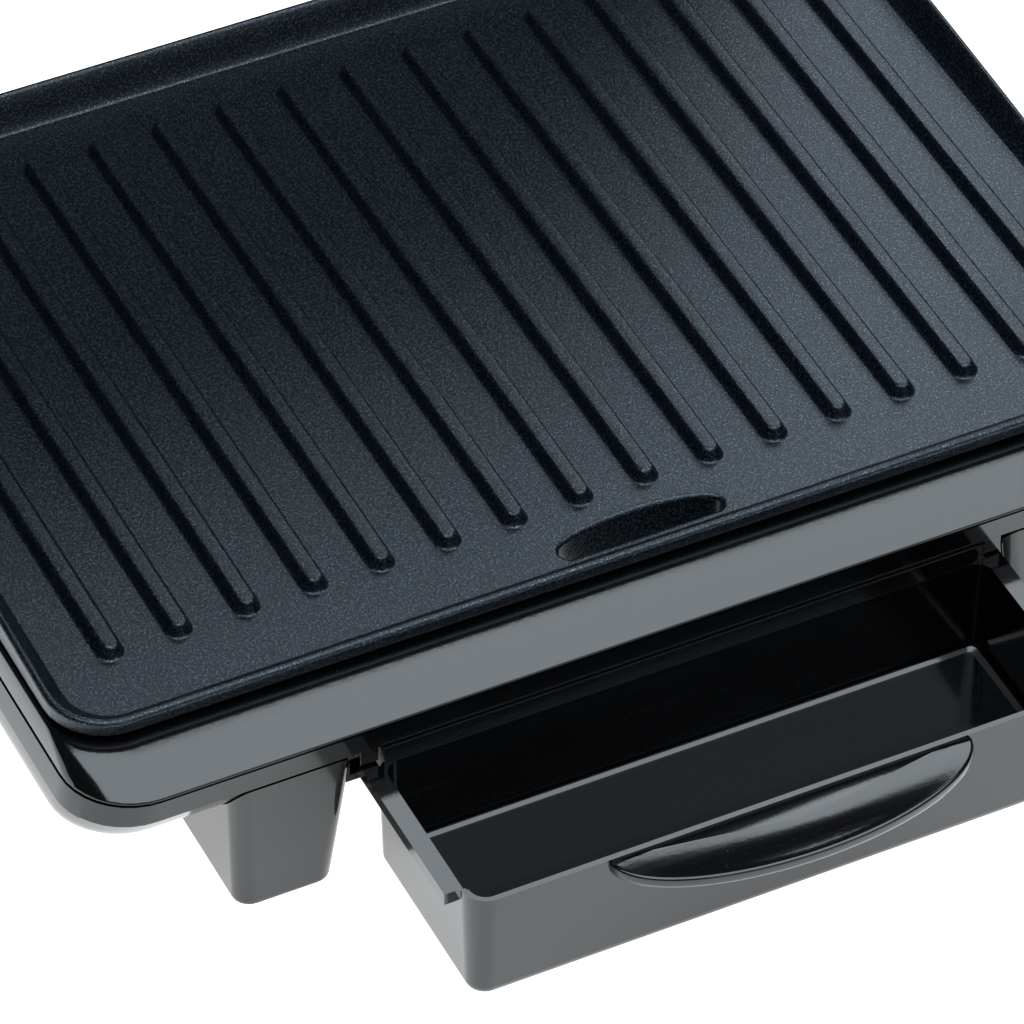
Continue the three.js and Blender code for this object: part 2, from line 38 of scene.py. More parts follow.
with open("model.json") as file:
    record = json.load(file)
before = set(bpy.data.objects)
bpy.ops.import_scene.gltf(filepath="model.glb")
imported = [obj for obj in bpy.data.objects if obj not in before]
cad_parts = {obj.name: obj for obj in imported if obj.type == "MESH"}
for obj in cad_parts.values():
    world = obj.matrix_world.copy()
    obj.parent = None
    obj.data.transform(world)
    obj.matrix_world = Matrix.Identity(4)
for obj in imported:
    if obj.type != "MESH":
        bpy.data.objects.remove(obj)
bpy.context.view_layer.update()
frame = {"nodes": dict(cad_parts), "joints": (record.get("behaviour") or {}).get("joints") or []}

# ---------- sizes taken from the frame, in millimetres ----------
MM = 0.001
HINGE_JOINT = next(j for j in frame["joints"] if j["name"] == "lid_hinge")
HINGE = Vector(HINGE_JOINT["pos_m"])
OPEN = math.radians(HINGE_JOINT["range_deg"][1])
LID_PLACE = Matrix.Translation(HINGE) @ Matrix.Rotation(-OPEN, 4, "X")  # closed lid to raised lid
TO_LID = LID_PLACE.inverted()


class Extent:
    """Box of one node or of several, in the shared frame or in the frame of the closed lid."""

    def __init__(self, *nodes, lid=False):
        turn = TO_LID if lid else Matrix.Identity(4)
        points = [turn @ v.co / MM for n in nodes for v in frame["nodes"][n].data.vertices]
        self.x0, self.y0, self.z0 = (min(p[k] for p in points) for k in range(3))
        self.x1, self.y1, self.z1 = (max(p[k] for p in points) for k in range(3))


PLATE = Extent("lower_plate")
PITCH = PLATE.x1 / 8.7  # distance from rib to rib
RIB_COUNT = 16
RIB_LENGTH = 9.75 * PITCH
RIB_FRONT = PLATE.y0 + 1.2 * PITCH
BAND = Extent("base_frame")
FLOOR = BAND.z1 + 0.2 * PITCH  # level of the lower plate between its ribs
SHELL = Extent("base_shell")
STRIP = FLOOR - 0.93 * PITCH  # lower edge of the upright strip along the front of the base
BASE_HALF = BAND.x1
TRAY = Extent("drip_tray")
TRAY_RIM = FLOOR - 1.05 * PITCH  # top of the tray's front wall
LID_RING = Extent("lid_frame", lid=True)
LID_HOOD = Extent("lid_cover", lid=True)
TOP_PLATE = Extent("upper_plate", lid=True)
SIDES = (("left", -1), ("right", 1))
TRAY_FRONT = RIB_FRONT - 5.2 * PITCH
TRAY_BACK = RIB_FRONT - 2.05 * PITCH
TRAY_HALF = 4.74 * PITCH
TRAY_WALL = 1.9
BACK_WALL_HALF = 75.4  # tall middle of the tray's back wall
CLEARANCE = 0.3  # gap left between neighbouring pieces
WELL_INSET = 3.4  # how far the band's opening lies inside the plate's rim
SHELL_WALL = 2.5
ARM_EYE = 13  # radius of an arm's end at the hinge
ARM_TIP = 12  # radius of an arm's end at the handle
AXLE_BORE = 4.3  # radius of the hole round an axle
RIB_TOP = 1.7  # half width of the nearly level top of a rib


# ---------- outlines ----------
def ring(x0, x1, y0, y1, r, z, steps=9, along=1):
    """Rounded rectangle as a loop of points. Its z may be a function of y."""
    loop = []
    corners = ((x1 - r, y0 + r, -90), (x1 - r, y1 - r, 0), (x0 + r, y1 - r, 90), (x0 + r, y0 + r, 180))
    for k, (cx, cy, start) in enumerate(corners):
        for i in range(steps + 1):
            a = math.radians(start + 90 * i / steps)
            loop.append((cx + r * math.cos(a), cy + r * math.sin(a)))
        nx, ny, after = corners[(k + 1) % 4]
        a = math.radians(after)
        goal = (nx + r * math.cos(a), ny + r * math.sin(a))
        here = loop[-1]
        for i in range(1, along):
            t = i / along
            loop.append((here[0] + (goal[0] - here[0]) * t, here[1] + (goal[1] - here[1]) * t))
    return [(x, y, z(y) if callable(z) else z) for x, y in loop]


def level(half, y0, y1, r, z, **more):
    """Rounded rectangle that is centred on X."""
    return ring(-half, half, y0, y1, r, z, **more)


def fillet(corners, steps=6):
    """Closed outline through (a, b, radius) corners, each rounded to its radius."""
    out = []
    count = len(corners)
    for k, (a, b, radius) in enumerate(corners):
        here = Vector((a, b))
        before = (Vector(corners[k - 1][:2]) - here).normalized()
        after = (Vector(corners[(k + 1) % count][:2]) - here).normalized()
        half_angle = before.angle(after) / 2
        if radius <= 0 or abs(half_angle - math.pi / 2) < 1e-3:
            out.append(here)
            continue
        centre = here + (before + after).normalized() * radius / math.sin(half_angle)
        first = here + before * radius / math.tan(half_angle) - centre
        last = here + after * radius / math.tan(half_angle) - centre
        turn = first.angle_signed(last)
        for i in range(steps + 1):
            t = turn * i / steps
            out.append(centre + Matrix.Rotation(-t, 2) @ first)
    return [tuple(p) for p in out]


def grow(outline, amount):
    """Outline moved outwards along its own normals."""
    count = len(outline)
    pairs = [(outline[i], outline[(i + 1) % count]) for i in range(count)]
    area = sum(a[0] * b[1] - b[0] * a[1] for a, b in pairs)
    sign = 1 if area > 0 else -1
    out = []
    for i, here in enumerate(outline):
        before, after = Vector(outline[i - 1]), Vector(outline[(i + 1) % count])
        along = (after - before).normalized()
        out.append((here[0] + sign * along.y * amount, here[1] - sign * along.x * amount))
    return out


def between(a, b, c, d, t):
    """Point of a smooth curve through b and c, with a and d beyond them."""
    return 0.5 * (2 * b + (c - a) * t + (2 * a - 5 * b + 4 * c - d) * t**2 + (3 * b - a - 3 * c + d) * t**3)


def smooth(keys, steps=4):
    """Rows of numbers drawn as one smooth run through the given rows."""
    out = []
    for i in range(len(keys) - 1):
        p0, p1, p2, p3 = (keys[max(0, min(len(keys) - 1, i + k))] for k in (-1, 0, 1, 2))
        for s in range(steps):
            out.append(tuple(between(*values, s / steps) for values in zip(p0, p1, p2, p3)))
    return out + [tuple(keys[-1])]


# ---------- meshes ----------
def weave(bm, loops, low=True, high=True, closed=False):
    """Skins a mesh through loops of equal length and returns the rows of vertices."""
    rows = [[bm.verts.new(p) for p in loop] for loop in loops]
    pairs = list(zip(rows, rows[1:]))
    if closed:
        pairs.append((rows[-1], rows[0]))
    for a, b in pairs:
        for i in range(len(a)):
            j = (i + 1) % len(a)
            bm.faces.new((a[i], a[j], b[j], b[i]))
    if low:
        bm.faces.new(rows[0][::-1])
    if high:
        bm.faces.new(rows[-1])
    return rows


def to_object(name, bm):
    """Object with the mesh of bm, its faces turned outwards."""
    bmesh.ops.recalc_face_normals(bm, faces=bm.faces)
    mesh = bpy.data.meshes.new(name)
    bm.to_mesh(mesh)
    bm.free()
    obj = bpy.data.objects.new(name, mesh)
    bpy.context.scene.collection.objects.link(obj)
    return obj


def skin(loops, name="tool", **ends):
    """Object skinned through loops of equal length."""
    bm = bmesh.new()
    weave(bm, loops, **ends)
    return to_object(name, bm)


def prism(outline, axis, start, end, name="tool"):
    """Flat outline thickened along one axis. Its two numbers are the other two axes in order."""
    spots = {
        "x": lambda t: [(t, a, b) for a, b in outline],
        "y": lambda t: [(a, t, b) for a, b in outline],
        "z": lambda t: [(a, b, t) for a, b in outline],
    }[axis]
    return skin([spots(start), spots(end)], name)


def block(x0, x1, y0, y1, z0, z1):
    """Rectangular solid."""
    return prism([(x0, y0), (x1, y0), (x1, y1), (x0, y1)], "z", z0, z1)


def lathe(profile, axis, centre, name="tool", steps=48):
    """Turned solid: rows of (radius, place along the axis) about a centre line."""
    a, b = centre
    loops = []
    for radius, along in profile:
        turns = [math.tau * i / steps for i in range(steps)]
        circle = [(a + radius * math.cos(t), b + radius * math.sin(t)) for t in turns]
        loops.append([{"x": (along, u, v), "y": (u, along, v), "z": (u, v, along)}[axis] for u, v in circle])
    return skin(loops, name)


def bake(obj):
    """Replaces a mesh by the result of its modifiers."""
    depsgraph = bpy.context.evaluated_depsgraph_get()
    made = bpy.data.meshes.new_from_object(obj.evaluated_get(depsgraph))
    obj.modifiers.clear()
    obj.data = made


def boolean(obj, tools, operation):
    for tool in tools:
        step = obj.modifiers.new("step", "BOOLEAN")
        step.operation = operation
        step.solver = "EXACT"
        step.object = tool
        bake(obj)
        bpy.data.objects.remove(tool)
    return obj


def gather(obj, *others):
    """Puts other meshes into the same object as they are."""
    bm = bmesh.new()
    for each in (obj, *others):
        bm.from_mesh(each.data)
    bm.to_mesh(obj.data)
    bm.free()
    for each in others:
        bpy.data.objects.remove(each)
    return obj


def cut(obj, *tools):
    return boolean(obj, tools, "DIFFERENCE")


def join(obj, *tools):
    return boolean(obj, tools, "UNION")


def mirrored(obj, name):
    """The left twin of a piece made for the right side."""
    twin = bpy.data.objects.new(name, obj.data.copy())
    twin.data.transform(Matrix.Scale(-1, 4, (1, 0, 0)))
    twin.data.flip_normals()
    bpy.context.scene.collection.objects.link(twin)
    return twin


def soften(obj, width, segments=3, limit=32):
    """Rounds the edges that turn by more than the limit."""
    edge = obj.modifiers.new("edge", "BEVEL")
    edge.width = width
    edge.segments = segments
    edge.limit_method = "ANGLE"
    edge.angle_limit = math.radians(limit)
    edge.miter_outer = "MITER_ARC"
    bake(obj)


def place(obj, body, nodes, finish, edge=0.0, lid=False, sharp=40):
    """Rounds a piece, moves it from millimetres into the shared frame and hands it to its body."""
    name = obj.name
    if edge:
        soften(obj, edge)
    mesh = obj.data
    mesh.transform((LID_PLACE if lid else Matrix.Identity(4)) @ Matrix.Scale(MM, 4))
    mesh.name = name
    mesh.shade_smooth()
    mesh.set_sharp_from_angle(angle=math.radians(sharp))
    mesh.materials.clear()
    mesh.materials.append(finish_of(finish))
    even = obj.modifiers.new("even_shading", "WEIGHTED_NORMAL")
    even.keep_sharp = True
    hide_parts(*nodes)
    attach(obj, body)
    return obj


# ---------- finishes ----------
class Wire:
    """An output of a node, with arithmetic that adds Math nodes."""

    def __init__(self, paint, socket):
        self.paint, self.socket = paint, socket

    def _math(self, operation, *values):
        slots = {i: v for i, v in enumerate(values)}
        return self.paint.node("ShaderNodeMath", {"operation": operation}, slots)

    def __add__(self, other):
        return self._math("ADD", self, other)

    def __rsub__(self, other):
        return self._math("SUBTRACT", other, self)

    def __mul__(self, other):
        return self._math("MULTIPLY", self, other)

    __radd__ = __add__
    __rmul__ = __mul__


class Paint:
    """Node tree of one finish, with its Principled shader."""

    def __init__(self, name, **constants):
        self.material = bpy.data.materials.new(name)
        self.material.use_nodes = True
        self.tree = self.material.node_tree
        self.shader = self.tree.nodes["Principled BSDF"]
        for socket, value in constants.items():
            self.shader.inputs[socket.replace("_", " ")].default_value = value

    def node(self, kind, settings, values, output=0):
        """Adds a node: its settings first, then the values or links of its sockets."""
        made = self.tree.nodes.new(kind)
        for key, value in settings.items():
            setattr(made, key, value)
        for key, value in values.items():
            socket = made.inputs[key]
            if isinstance(value, Wire):
                self.tree.links.new(value.socket, socket)
            else:
                socket.default_value = value
        return Wire(self, made.outputs[output])

    def feed(self, socket, wire):
        self.tree.links.new(wire.socket, self.shader.inputs[socket])

    def place(self):
        return self.node("ShaderNodeTexCoord", {}, {}, "Object")

    def noise(self, scale, detail=3.0, rough=0.5, at=None):
        values = {"Scale": scale, "Detail": detail, "Roughness": rough, "Vector": at or self.place()}
        return self.node("ShaderNodeTexNoise", {}, values, "Fac")

    def span(self, wire, low, high, to_low=0.0, to_high=1.0):
        """Maps a number from one span to another, clamped."""
        values = {"Value": wire, "From Min": low, "From Max": high, "To Min": to_low, "To Max": to_high}
        return self.node("ShaderNodeMapRange", {"clamp": True}, values)

    def mix(self, share, a, b):
        """Mix of two colours."""
        values = {0: share, 6: a, 7: b}
        return self.node("ShaderNodeMix", {"data_type": "RGBA"}, values, 2)

    def bump(self, height, strength, distance, under=None):
        values = {"Height": height, "Strength": strength, "Distance": distance}
        if under:
            values["Normal"] = under
        return self.node("ShaderNodeBump", {}, values, "Normal")


def tint(color, factor=1.0):
    """Colour as four numbers, made lighter or darker."""
    return (*(min(1.0, c * factor) for c in color[:3]), 1.0)


def gloss_plastic(colours):
    """Polished moulding: faint flow, fine wiping scratches and a little dust."""
    p = Paint("gloss_plastic", IOR=1.55, Specular_Tint=(0.94, 0.98, 1.0, 1.0))
    flow = p.noise(26, 2)
    dust = p.span(p.noise(2600, 1), 0.68, 0.8)
    stretch = p.node("ShaderNodeMapping", {}, {"Vector": p.place(), "Scale": (40.0, 900.0, 400.0)})
    wipes = p.span(p.noise(1.0, 4, 0.6, stretch), 0.5, 0.75)
    p.feed("Base Color", p.mix(dust * 0.05, tint(colours.gloss), tint((0.4, 0.4, 0.42))))
    p.feed("Roughness", 0.085 + flow * 0.05 + wipes * 0.035 + dust * 0.15)
    fine = p.bump(p.noise(900, 2), 0.05, 0.0002)
    p.feed("Normal", p.bump(flow, 0.10, 0.0006, fine))
    return p.material


def satin_plastic(colours):
    """Moulding with a fine spark-eroded grain."""
    p = Paint("satin_plastic", IOR=1.48)
    grain = p.node("ShaderNodeTexVoronoi", {}, {"Scale": 1500.0, "Vector": p.place()}, "Distance")
    cloud = p.noise(60, 3)
    p.feed("Base Color", p.mix(cloud, tint(colours.satin, 0.85), tint(colours.satin, 1.25)))
    p.feed("Roughness", 0.40 + cloud * 0.10)
    p.feed("Normal", p.bump(grain, 0.28, 0.00025))
    return p.material


def nonstick_coating(colours):
    """Sprayed coating over cast metal: a blue-black body with metal flecks and a fine orange peel."""
    p = Paint("nonstick_coating", IOR=1.42, Specular_Tint=(0.72, 0.87, 1.0, 1.0))
    cells = p.node("ShaderNodeTexVoronoi", {}, {"Scale": 3200.0, "Vector": p.place()}, "Distance")
    chance = p.noise(1500, 1)
    flecks = p.span(cells, 0.22, 0.40, 1.0, 0.0) * p.span(chance, 0.46, 0.58)
    mottle = p.noise(70, 4)
    peel = p.noise(1700, 3, 0.65)
    body = p.mix(mottle, tint(colours.coating, 0.85), tint(colours.coating, 1.2))
    p.feed("Base Color", p.mix(flecks, body, tint(colours.fleck)))
    p.feed("Metallic", flecks)
    p.feed("Roughness", 0.22 + mottle * 0.06)
    p.feed("Normal", p.bump(peel, 0.4, 0.0003))
    return p.material


def rubber(colours):
    """Moulded rubber with a dry, slightly dusty skin."""
    p = Paint("rubber", IOR=1.5)
    dust = p.noise(220, 4, 0.6)
    dusty = p.span(dust, 0.45, 0.75) * 0.35
    p.feed("Base Color", p.mix(dusty, tint(colours.rubber), tint((0.12, 0.12, 0.12))))
    p.feed("Roughness", 0.72 + dust * 0.18)
    p.feed("Normal", p.bump(dust, 0.3, 0.0003))
    return p.material


def bright_steel(colours):
    """Drawn and turned steel with fine lines."""
    p = Paint("bright_steel", Metallic=1.0)
    stretch = p.node("ShaderNodeMapping", {}, {"Vector": p.place(), "Scale": (300.0, 2400.0, 2400.0)})
    lines = p.noise(1.0, 3, 0.6, stretch)
    p.feed("Base Color", p.mix(lines, tint(colours.steel, 0.8), tint(colours.steel, 1.15)))
    p.feed("Roughness", 0.26 + lines * 0.16)
    p.feed("Normal", p.bump(lines, 0.12, 0.0002))
    return p.material


def reflector_sheet(colours):
    """Aluminised sheet with a faint spangle."""
    p = Paint("reflector_sheet", Metallic=1.0)
    spangle = p.node("ShaderNodeTexVoronoi", {}, {"Scale": 240.0, "Vector": p.place()}, "Color")
    grey = p.node("ShaderNodeRGBToBW", {}, {"Color": spangle})
    p.feed("Base Color", p.mix(grey, tint(colours.sheet, 0.85), tint(colours.sheet, 1.1)))
    p.feed("Roughness", 0.24 + grey * 0.14)
    return p.material


def ceramic_body(colours):
    """Unglazed off-white ceramic with small pits."""
    p = Paint("ceramic_body", IOR=1.5)
    pits = p.span(p.noise(900, 3), 0.62, 0.72)
    p.feed("Base Color", p.mix(pits, tint(colours.ceramic), tint(colours.ceramic, 0.6)))
    p.feed("Roughness", 0.6 + pits * 0.2)
    p.feed("Normal", p.bump(1 - pits, 0.4, 0.0003))
    return p.material


def lens(name, color):
    """Clear coloured lens with pressed rings."""
    p = Paint(name, IOR=1.49, Transmission_Weight=0.35)
    speck = p.noise(1400, 2)
    p.feed("Base Color", p.mix(speck, tint(color, 0.8), tint(color, 1.2)))
    p.feed("Roughness", 0.06 + speck * 0.06)
    return p.material


FINISHES = {
    "gloss_plastic": gloss_plastic,
    "satin_plastic": satin_plastic,
    "nonstick_coating": nonstick_coating,
    "rubber": rubber,
    "bright_steel": bright_steel,
    "reflector_sheet": reflector_sheet,
    "ceramic_body": ceramic_body,
    "red_lens": lambda colours: lens("red_lens", colours.power_lens),
    "green_lens": lambda colours: lens("green_lens", colours.ready_lens),
}


PAINTS = {}


def finish_of(name):
    """The material of a finish, made on first use."""
    if name not in PAINTS:
        PAINTS[name] = FINISHES[name](bpy.context.scene.grill_colours)
    return PAINTS[name]


# ---------- ribbed plates ----------
def rim_crest(y):
    """Height of the crest of the lower plate's rim, low at the front and high at the back."""
    along = (y - PLATE.y0) / (PLATE.y1 - PLATE.y0)
    return FLOOR + 2 + (PLATE.z1 - FLOOR - 2) * math.sin(math.pi / 2 * max(0.0, min(1.0, along)))


def rib_rise(x, y, start, sizes):
    """Height of a rib above its floor, at x from its middle line."""
    half = sizes.rib_width / MM / 2 + 0.5
    past = max(start + half - y, y - start - RIB_LENGTH + half, 0)
    reach = math.hypot(x, past)
    t = max(0.0, min(1.0, (half - reach) / (half - RIB_TOP)))
    crown = 1 - 0.1 * min(1.0, reach / half) ** 2
    return sizes.rib_height / MM * crown * t * t * (3 - 2 * t)


def ribbed_floor(bm, start, foot, up, sizes, borders):
    """Adds the ribbed field, and the flat floor between it and the border loops round it."""
    spread = [-3.6, -3.2, -2.85, -2.5, -2.15, -1.8, -1.45, -1.1, -0.7, -0.3]
    offsets = spread + [-s for s in reversed(spread)]
    middles = [(i - (RIB_COUNT - 1) / 2) * PITCH for i in range(RIB_COUNT)]
    xs = [(m + o, o) for m in middles for o in offsets]
    ends = [s - spread[0] - 0.6 for s in [*spread, 0.2, 0.9, 1.8]]
    middle = [12 + (RIB_LENGTH - 24) * i / 8 for i in range(9)]
    ys = [start + t for t in [*ends, *middle, *(RIB_LENGTH - t for t in reversed(ends))]]
    grid = [[bm.verts.new((x, y, foot + up * rib_rise(o, y, start, sizes))) for x, o in xs] for y in ys]
    for a, b in zip(grid, grid[1:]):
        for i in range(len(xs) - 1):
            bm.faces.new((a[i], a[i + 1], b[i + 1], b[i]))
    edge = grid[0] + [row[-1] for row in grid[1:]] + grid[-1][-2::-1] + [row[0] for row in grid[-2:0:-1]]
    edges = []
    for loop in (edge, *borders):
        for i, v in enumerate(loop):
            w = loop[(i + 1) % len(loop)]
            edges.append(bm.edges.get((v, w)) or bm.edges.new((v, w)))
    bmesh.ops.triangle_fill(bm, use_beauty=True, use_dissolve=False, edges=edges)


def slot_outline():
    """Crescent of the grease slot: straight along the lip, arched towards the ribs."""
    half, front, tip, arch = (k * PITCH for k in (1.24, -0.84, -0.70, -0.34))
    arc = []
    for i in range(25):
        t = math.pi * i / 24
        arc.append((half * math.cos(t), RIB_FRONT + tip + (arch - tip) * math.sin(t) ** 0.85))
    left = [(-half * (1 - 0.02 * k), RIB_FRONT + tip + (front - tip) * min(1, k / 2.5)) for k in (1, 2)]
    straight = [(half * (-0.92 + 1.84 * i / 8), RIB_FRONT + front) for i in range(9)]
    right = [(-x, y) for x, y in reversed(left)]
    return arc + left + straight + right


def lower_plate(sizes):
    """Lower grill plate: rolled rim, ribs with rounded ends and the grease slot."""
    overhang, under, skirt = 4.0, FLOOR - 2.2, FLOOR - 6

    def row(side, front, back, z):
        radius = 14.6 - min(side, front, back)
        return level(PLATE.x1 - side, PLATE.y0 + front, PLATE.y1 - back, radius, z, along=10, steps=8)

    def raised(drop):
        return lambda y: rim_crest(y) - drop

    rows = [row(overhang, overhang, overhang, skirt), row(overhang, overhang, overhang, under)]
    rows += [row(1, 1, 1, under), row(0.3, 0.3, 0.3, under + 0.25), row(0, 0, 0, under + 0.9)]
    nose = 1.15
    for i in range(6):
        a = math.pi / 2 * i / 5
        inset = nose * (1 - math.cos(a))
        rows.append(row(inset, inset, inset, raised(nose * (1 - math.sin(a)))))
    fall = 12
    for i in range(1, fall + 1):
        t = i / fall
        share = 1 - t * t * (3 - 2 * t)
        spans = (nose + (w - nose) * t for w in (5.6, 4.2, 6.2))
        rows.append(row(*spans, lambda y, s=share: FLOOR + (rim_crest(y) - FLOOR) * s))
    bm = bmesh.new()
    made = weave(bm, rows, low=False, high=False)
    outline = slot_outline()
    spout = FLOOR - PLATE.z0
    drops = ((1.1, 0.0), (0.55, 0.12), (0.15, 0.5), (0.0, 1.1), (0.0, spout))
    drops += ((1.5, spout), (1.5, FLOOR - skirt))
    lip = min(y for _, y in outline)
    slot_rows = []
    for widened, drop in drops:
        narrowing = 1 - 0.3 * drop / spout if widened < 1.5 else 1
        slot_rows.append([(x, lip + (y - lip) * narrowing, FLOOR - drop) for x, y in grow(outline, widened)])
    slot_rows = weave(bm, slot_rows, low=False, high=False)
    ribbed_floor(bm, RIB_FRONT, FLOOR, 1, sizes, (made[-1], slot_rows[0]))
    hollow = [level(PLATE.x1 - 12, RIB_FRONT, PLATE.y1 - 12, 6, z) for z in (skirt, FLOOR - 3.6)]
    recess = weave(bm, hollow, low=False)
    edges = []
    for loop in (made[0], slot_rows[-1], recess[0]):
        edges += [bm.edges.get((v, loop[(i + 1) % len(loop)])) for i, v in enumerate(loop)]
    bmesh.ops.triangle_fill(bm, use_beauty=True, use_dissolve=False, edges=edges)
    place(to_object("lower_plate_shape", bm), "base", ["lower_plate"], "nonstick_coating", sharp=60)


def upper_plate(sizes):
    """Upper grill plate, ribs facing down when the lid is closed."""
    foot = TOP_PLATE.z1 - 5
    y0, y1, half = TOP_PLATE.y0, TOP_PLATE.y1, TOP_PLATE.x1

    def row(inset, z):
        return level(half - inset, y0 + inset, y1 - inset, 13.5 - inset, z, steps=8)

    keys = ((2.6, 0), (1.5, 0.2), (0.7, 0.7), (0.2, 1.5), (0, 2.4), (0, 5))
    rows = [row(inset, foot + rise) for inset, rise in keys]
    bm = bmesh.new()
    made = weave(bm, rows, low=False)
    rib_start = RIB_FRONT - HINGE.y / MM
    ribbed_floor(bm, rib_start, foot, -1, sizes, (made[0],))
    place(to_object("upper_plate_shape", bm), "lid", ["upper_plate"], "nonstick_coating", lid=True, sharp=60)


# ---------- base housing ----------
def base_band(sizes):
    """Frame round the lower plate, with the sloped band along its front."""
    rows = []
    steps = 7
    front_run = PLATE.y0 - 1.2 - BAND.y0
    for i in range(steps + 1):
        t = i / steps
        z = BAND.z0 + 0.7 + (BAND.z1 - BAND.z0 - 0.7) * (t + 0.11 * math.sin(math.pi * t))
        rows.append(level(BASE_HALF - t, BAND.y0 + front_run * t, BAND.y1 - 0.6 * t, 17 - 3 * t, z))
    rows.insert(0, level(BASE_HALF, BAND.y0, BAND.y1, 17, BAND.z0))
    well = (PLATE.x1 - WELL_INSET, PLATE.y0 + WELL_INSET, PLATE.y1 - WELL_INSET, 10)
    rows += [level(*well, BAND.z1), level(*well, BAND.z0)]
    band = skin(rows, "base_band", low=False, high=False, closed=True)
    place(band, "base", ["base_frame"], "gloss_plastic", edge=sizes.edge / MM)


def shell_loops(inset):
    """Loops of the base shell from its belly up, all moved inwards by the inset."""
    belly = SHELL.z0 + inset
    keys = [
        (BASE_HALF - 8, RIB_FRONT - 20.5, BAND.y1 - 8, 14, belly),
        (BASE_HALF - 2.5, RIB_FRONT - 24.5, BAND.y1 - 3, 16, max(SHELL.z0 + 1.8, belly + 0.2)),
        (BASE_HALF + 1.2, RIB_FRONT - 30, BAND.y1 - 0.5, 17, SHELL.z0 + 7),
        (BASE_HALF + 1.6, BAND.y0, BAND.y1, 17, STRIP),
    ]
    keys = smooth(keys, 5)
    keys.append((BASE_HALF + 0.3, BAND.y0, BAND.y1, 17, SHELL.z1 + (1 if inset else 0)))
    return [level(h - inset, f + inset, b - inset, max(r - inset, 3), z) for h, f, b, r, z in keys]


def hand_hold(side, grown):
    """Tool that cuts the hand hold up into one side of the base."""
    low, top = SHELL.z0 - 3, STRIP - 2 + grown
    ends = [RIB_FRONT + t for t in (6 - grown, 18 - grown, 150 + grown, 162 + grown)]
    outline = fillet([(ends[0], low, 0), (ends[1], top, 7), (ends[2], top, 7), (ends[3], low, 0)])
    xs = sorted((side * (BASE_HALF - 9 - grown), side * (BASE_HALF + 6)))
    return prism(outline, "x", *xs)


def base_shell(sizes):
    """Housing under the frame: bay for the tray, hand holds, opening for the bottom cover."""
    cover = Extent("bottom_cover")
    gland = Extent("cord_gland")
    rail = Extent("right_tray_rail")
    inner = cut(skin(shell_loops(SHELL_WALL)), *(hand_hold(s, SHELL_WALL) for _, s in SIDES))
    bay_half = rail.x1 + CLEARANCE
    bay = block(-bay_half, bay_half, BAND.y0 - 10, RIB_FRONT + 20, SHELL.z0 - 10, STRIP)
    inset = 12
    across, along = (cover.x0 + inset, cover.x1 - inset), (cover.y0 + inset, cover.y1 - inset)
    opening = block(*across, *along, SHELL.z0 - 6, SHELL.z0 + 4)
    gland_z = (gland.z0 + gland.z1) / 2
    hole = lathe([(6.3, BAND.y1 - 15), (6.3, BAND.y1 + 5)], "y", (0, gland_z))
    outer = skin(shell_loops(0), "base_housing")
    shell = cut(outer, *(hand_hold(s, 0) for _, s in SIDES), inner, bay, opening, hole)
    place(shell, "base", ["base_shell"], "gloss_plastic", edge=0.7)


def bottom_cover(sizes):
    """Plate that closes the underside, with a rolled edge."""
    e = Extent("bottom_cover")
    keys = ((3, 0), (1, 0.25), (0.3, 0.8), (0, 1.5), (0, e.z1 - e.z0))
    rows = [ring(e.x0 + i, e.x1 - i, e.y0 + i, e.y1 - i, 7 - i, e.z0 + h) for i, h in keys]
    place(skin(rows, "base_cover"), "base", ["bottom_cover"], "satin_plastic")


def foot_block(place_name):
    """Right foot: a tapered block cut to the belly of the shell and hollowed beside the tray."""
    e = Extent(f"{place_name}_right_foot")
    rail = Extent("right_tray_rail")
    x0, x1, top = e.x0 - 1.2, e.x1 + 0.2, STRIP - CLEARANCE
    sole = (6.5, 2.6, 2.6, 4.6, 3.4, e.z0)
    edge = (5.4, 1.4, 1.0, 3.2, 4.2, e.z0 + 0.7)
    side = (5, 1.1, 0.75, 2.9, 4.5, e.z0 + 2)
    keys = [*smooth([sole, edge, side], 3), (0, 0, 0, 0, 4.5, top)]
    rows = [ring(x0 + a, x1 - b, e.y0 + c, e.y1 - d, r, z, steps=7) for a, b, c, d, r, z in keys]
    foot = skin(rows, f"{place_name}_right_foot_block")
    shell = skin(shell_loops(-CLEARANCE))
    hollow = block(70, rail.x1 + CLEARANCE, e.y0 + 2.2, e.y1 + 4, SHELL.z0, STRIP + 2)
    return cut(foot, shell, hollow)


def feet(sizes):
    """Four feet."""
    for place_name in ("front", "rear"):
        right = foot_block(place_name)
        soften(right, 0.5)
        left = mirrored(right, f"{place_name}_left_foot_block")
        place(right, "base", [f"{place_name}_right_foot"], "gloss_plastic")
        place(left, "base", [f"{place_name}_left_foot"], "gloss_plastic")


def foot_pads(sizes):
    """Rubber pads with a rounded edge and a ring groove underneath."""
    for place_name in ("front", "rear"):
        for hand, _ in SIDES:
            node = f"{place_name}_{hand}_foot_pad"
            e = Extent(node)
            r, middle = (e.x1 - e.x0) / 2, ((e.x0 + e.x1) / 2, (e.y0 + e.y1) / 2)
            profile = [(0.4, 0.25), (3.6, 0.25), (3.9, 0)]
            profile += [(r - 0.5, 0), (r - 0.12, 0.15), (r, 0.5), (r, e.z1)]
            place(lathe(profile, "z", middle, f"{node}_disc"), "base", [node], "rubber")


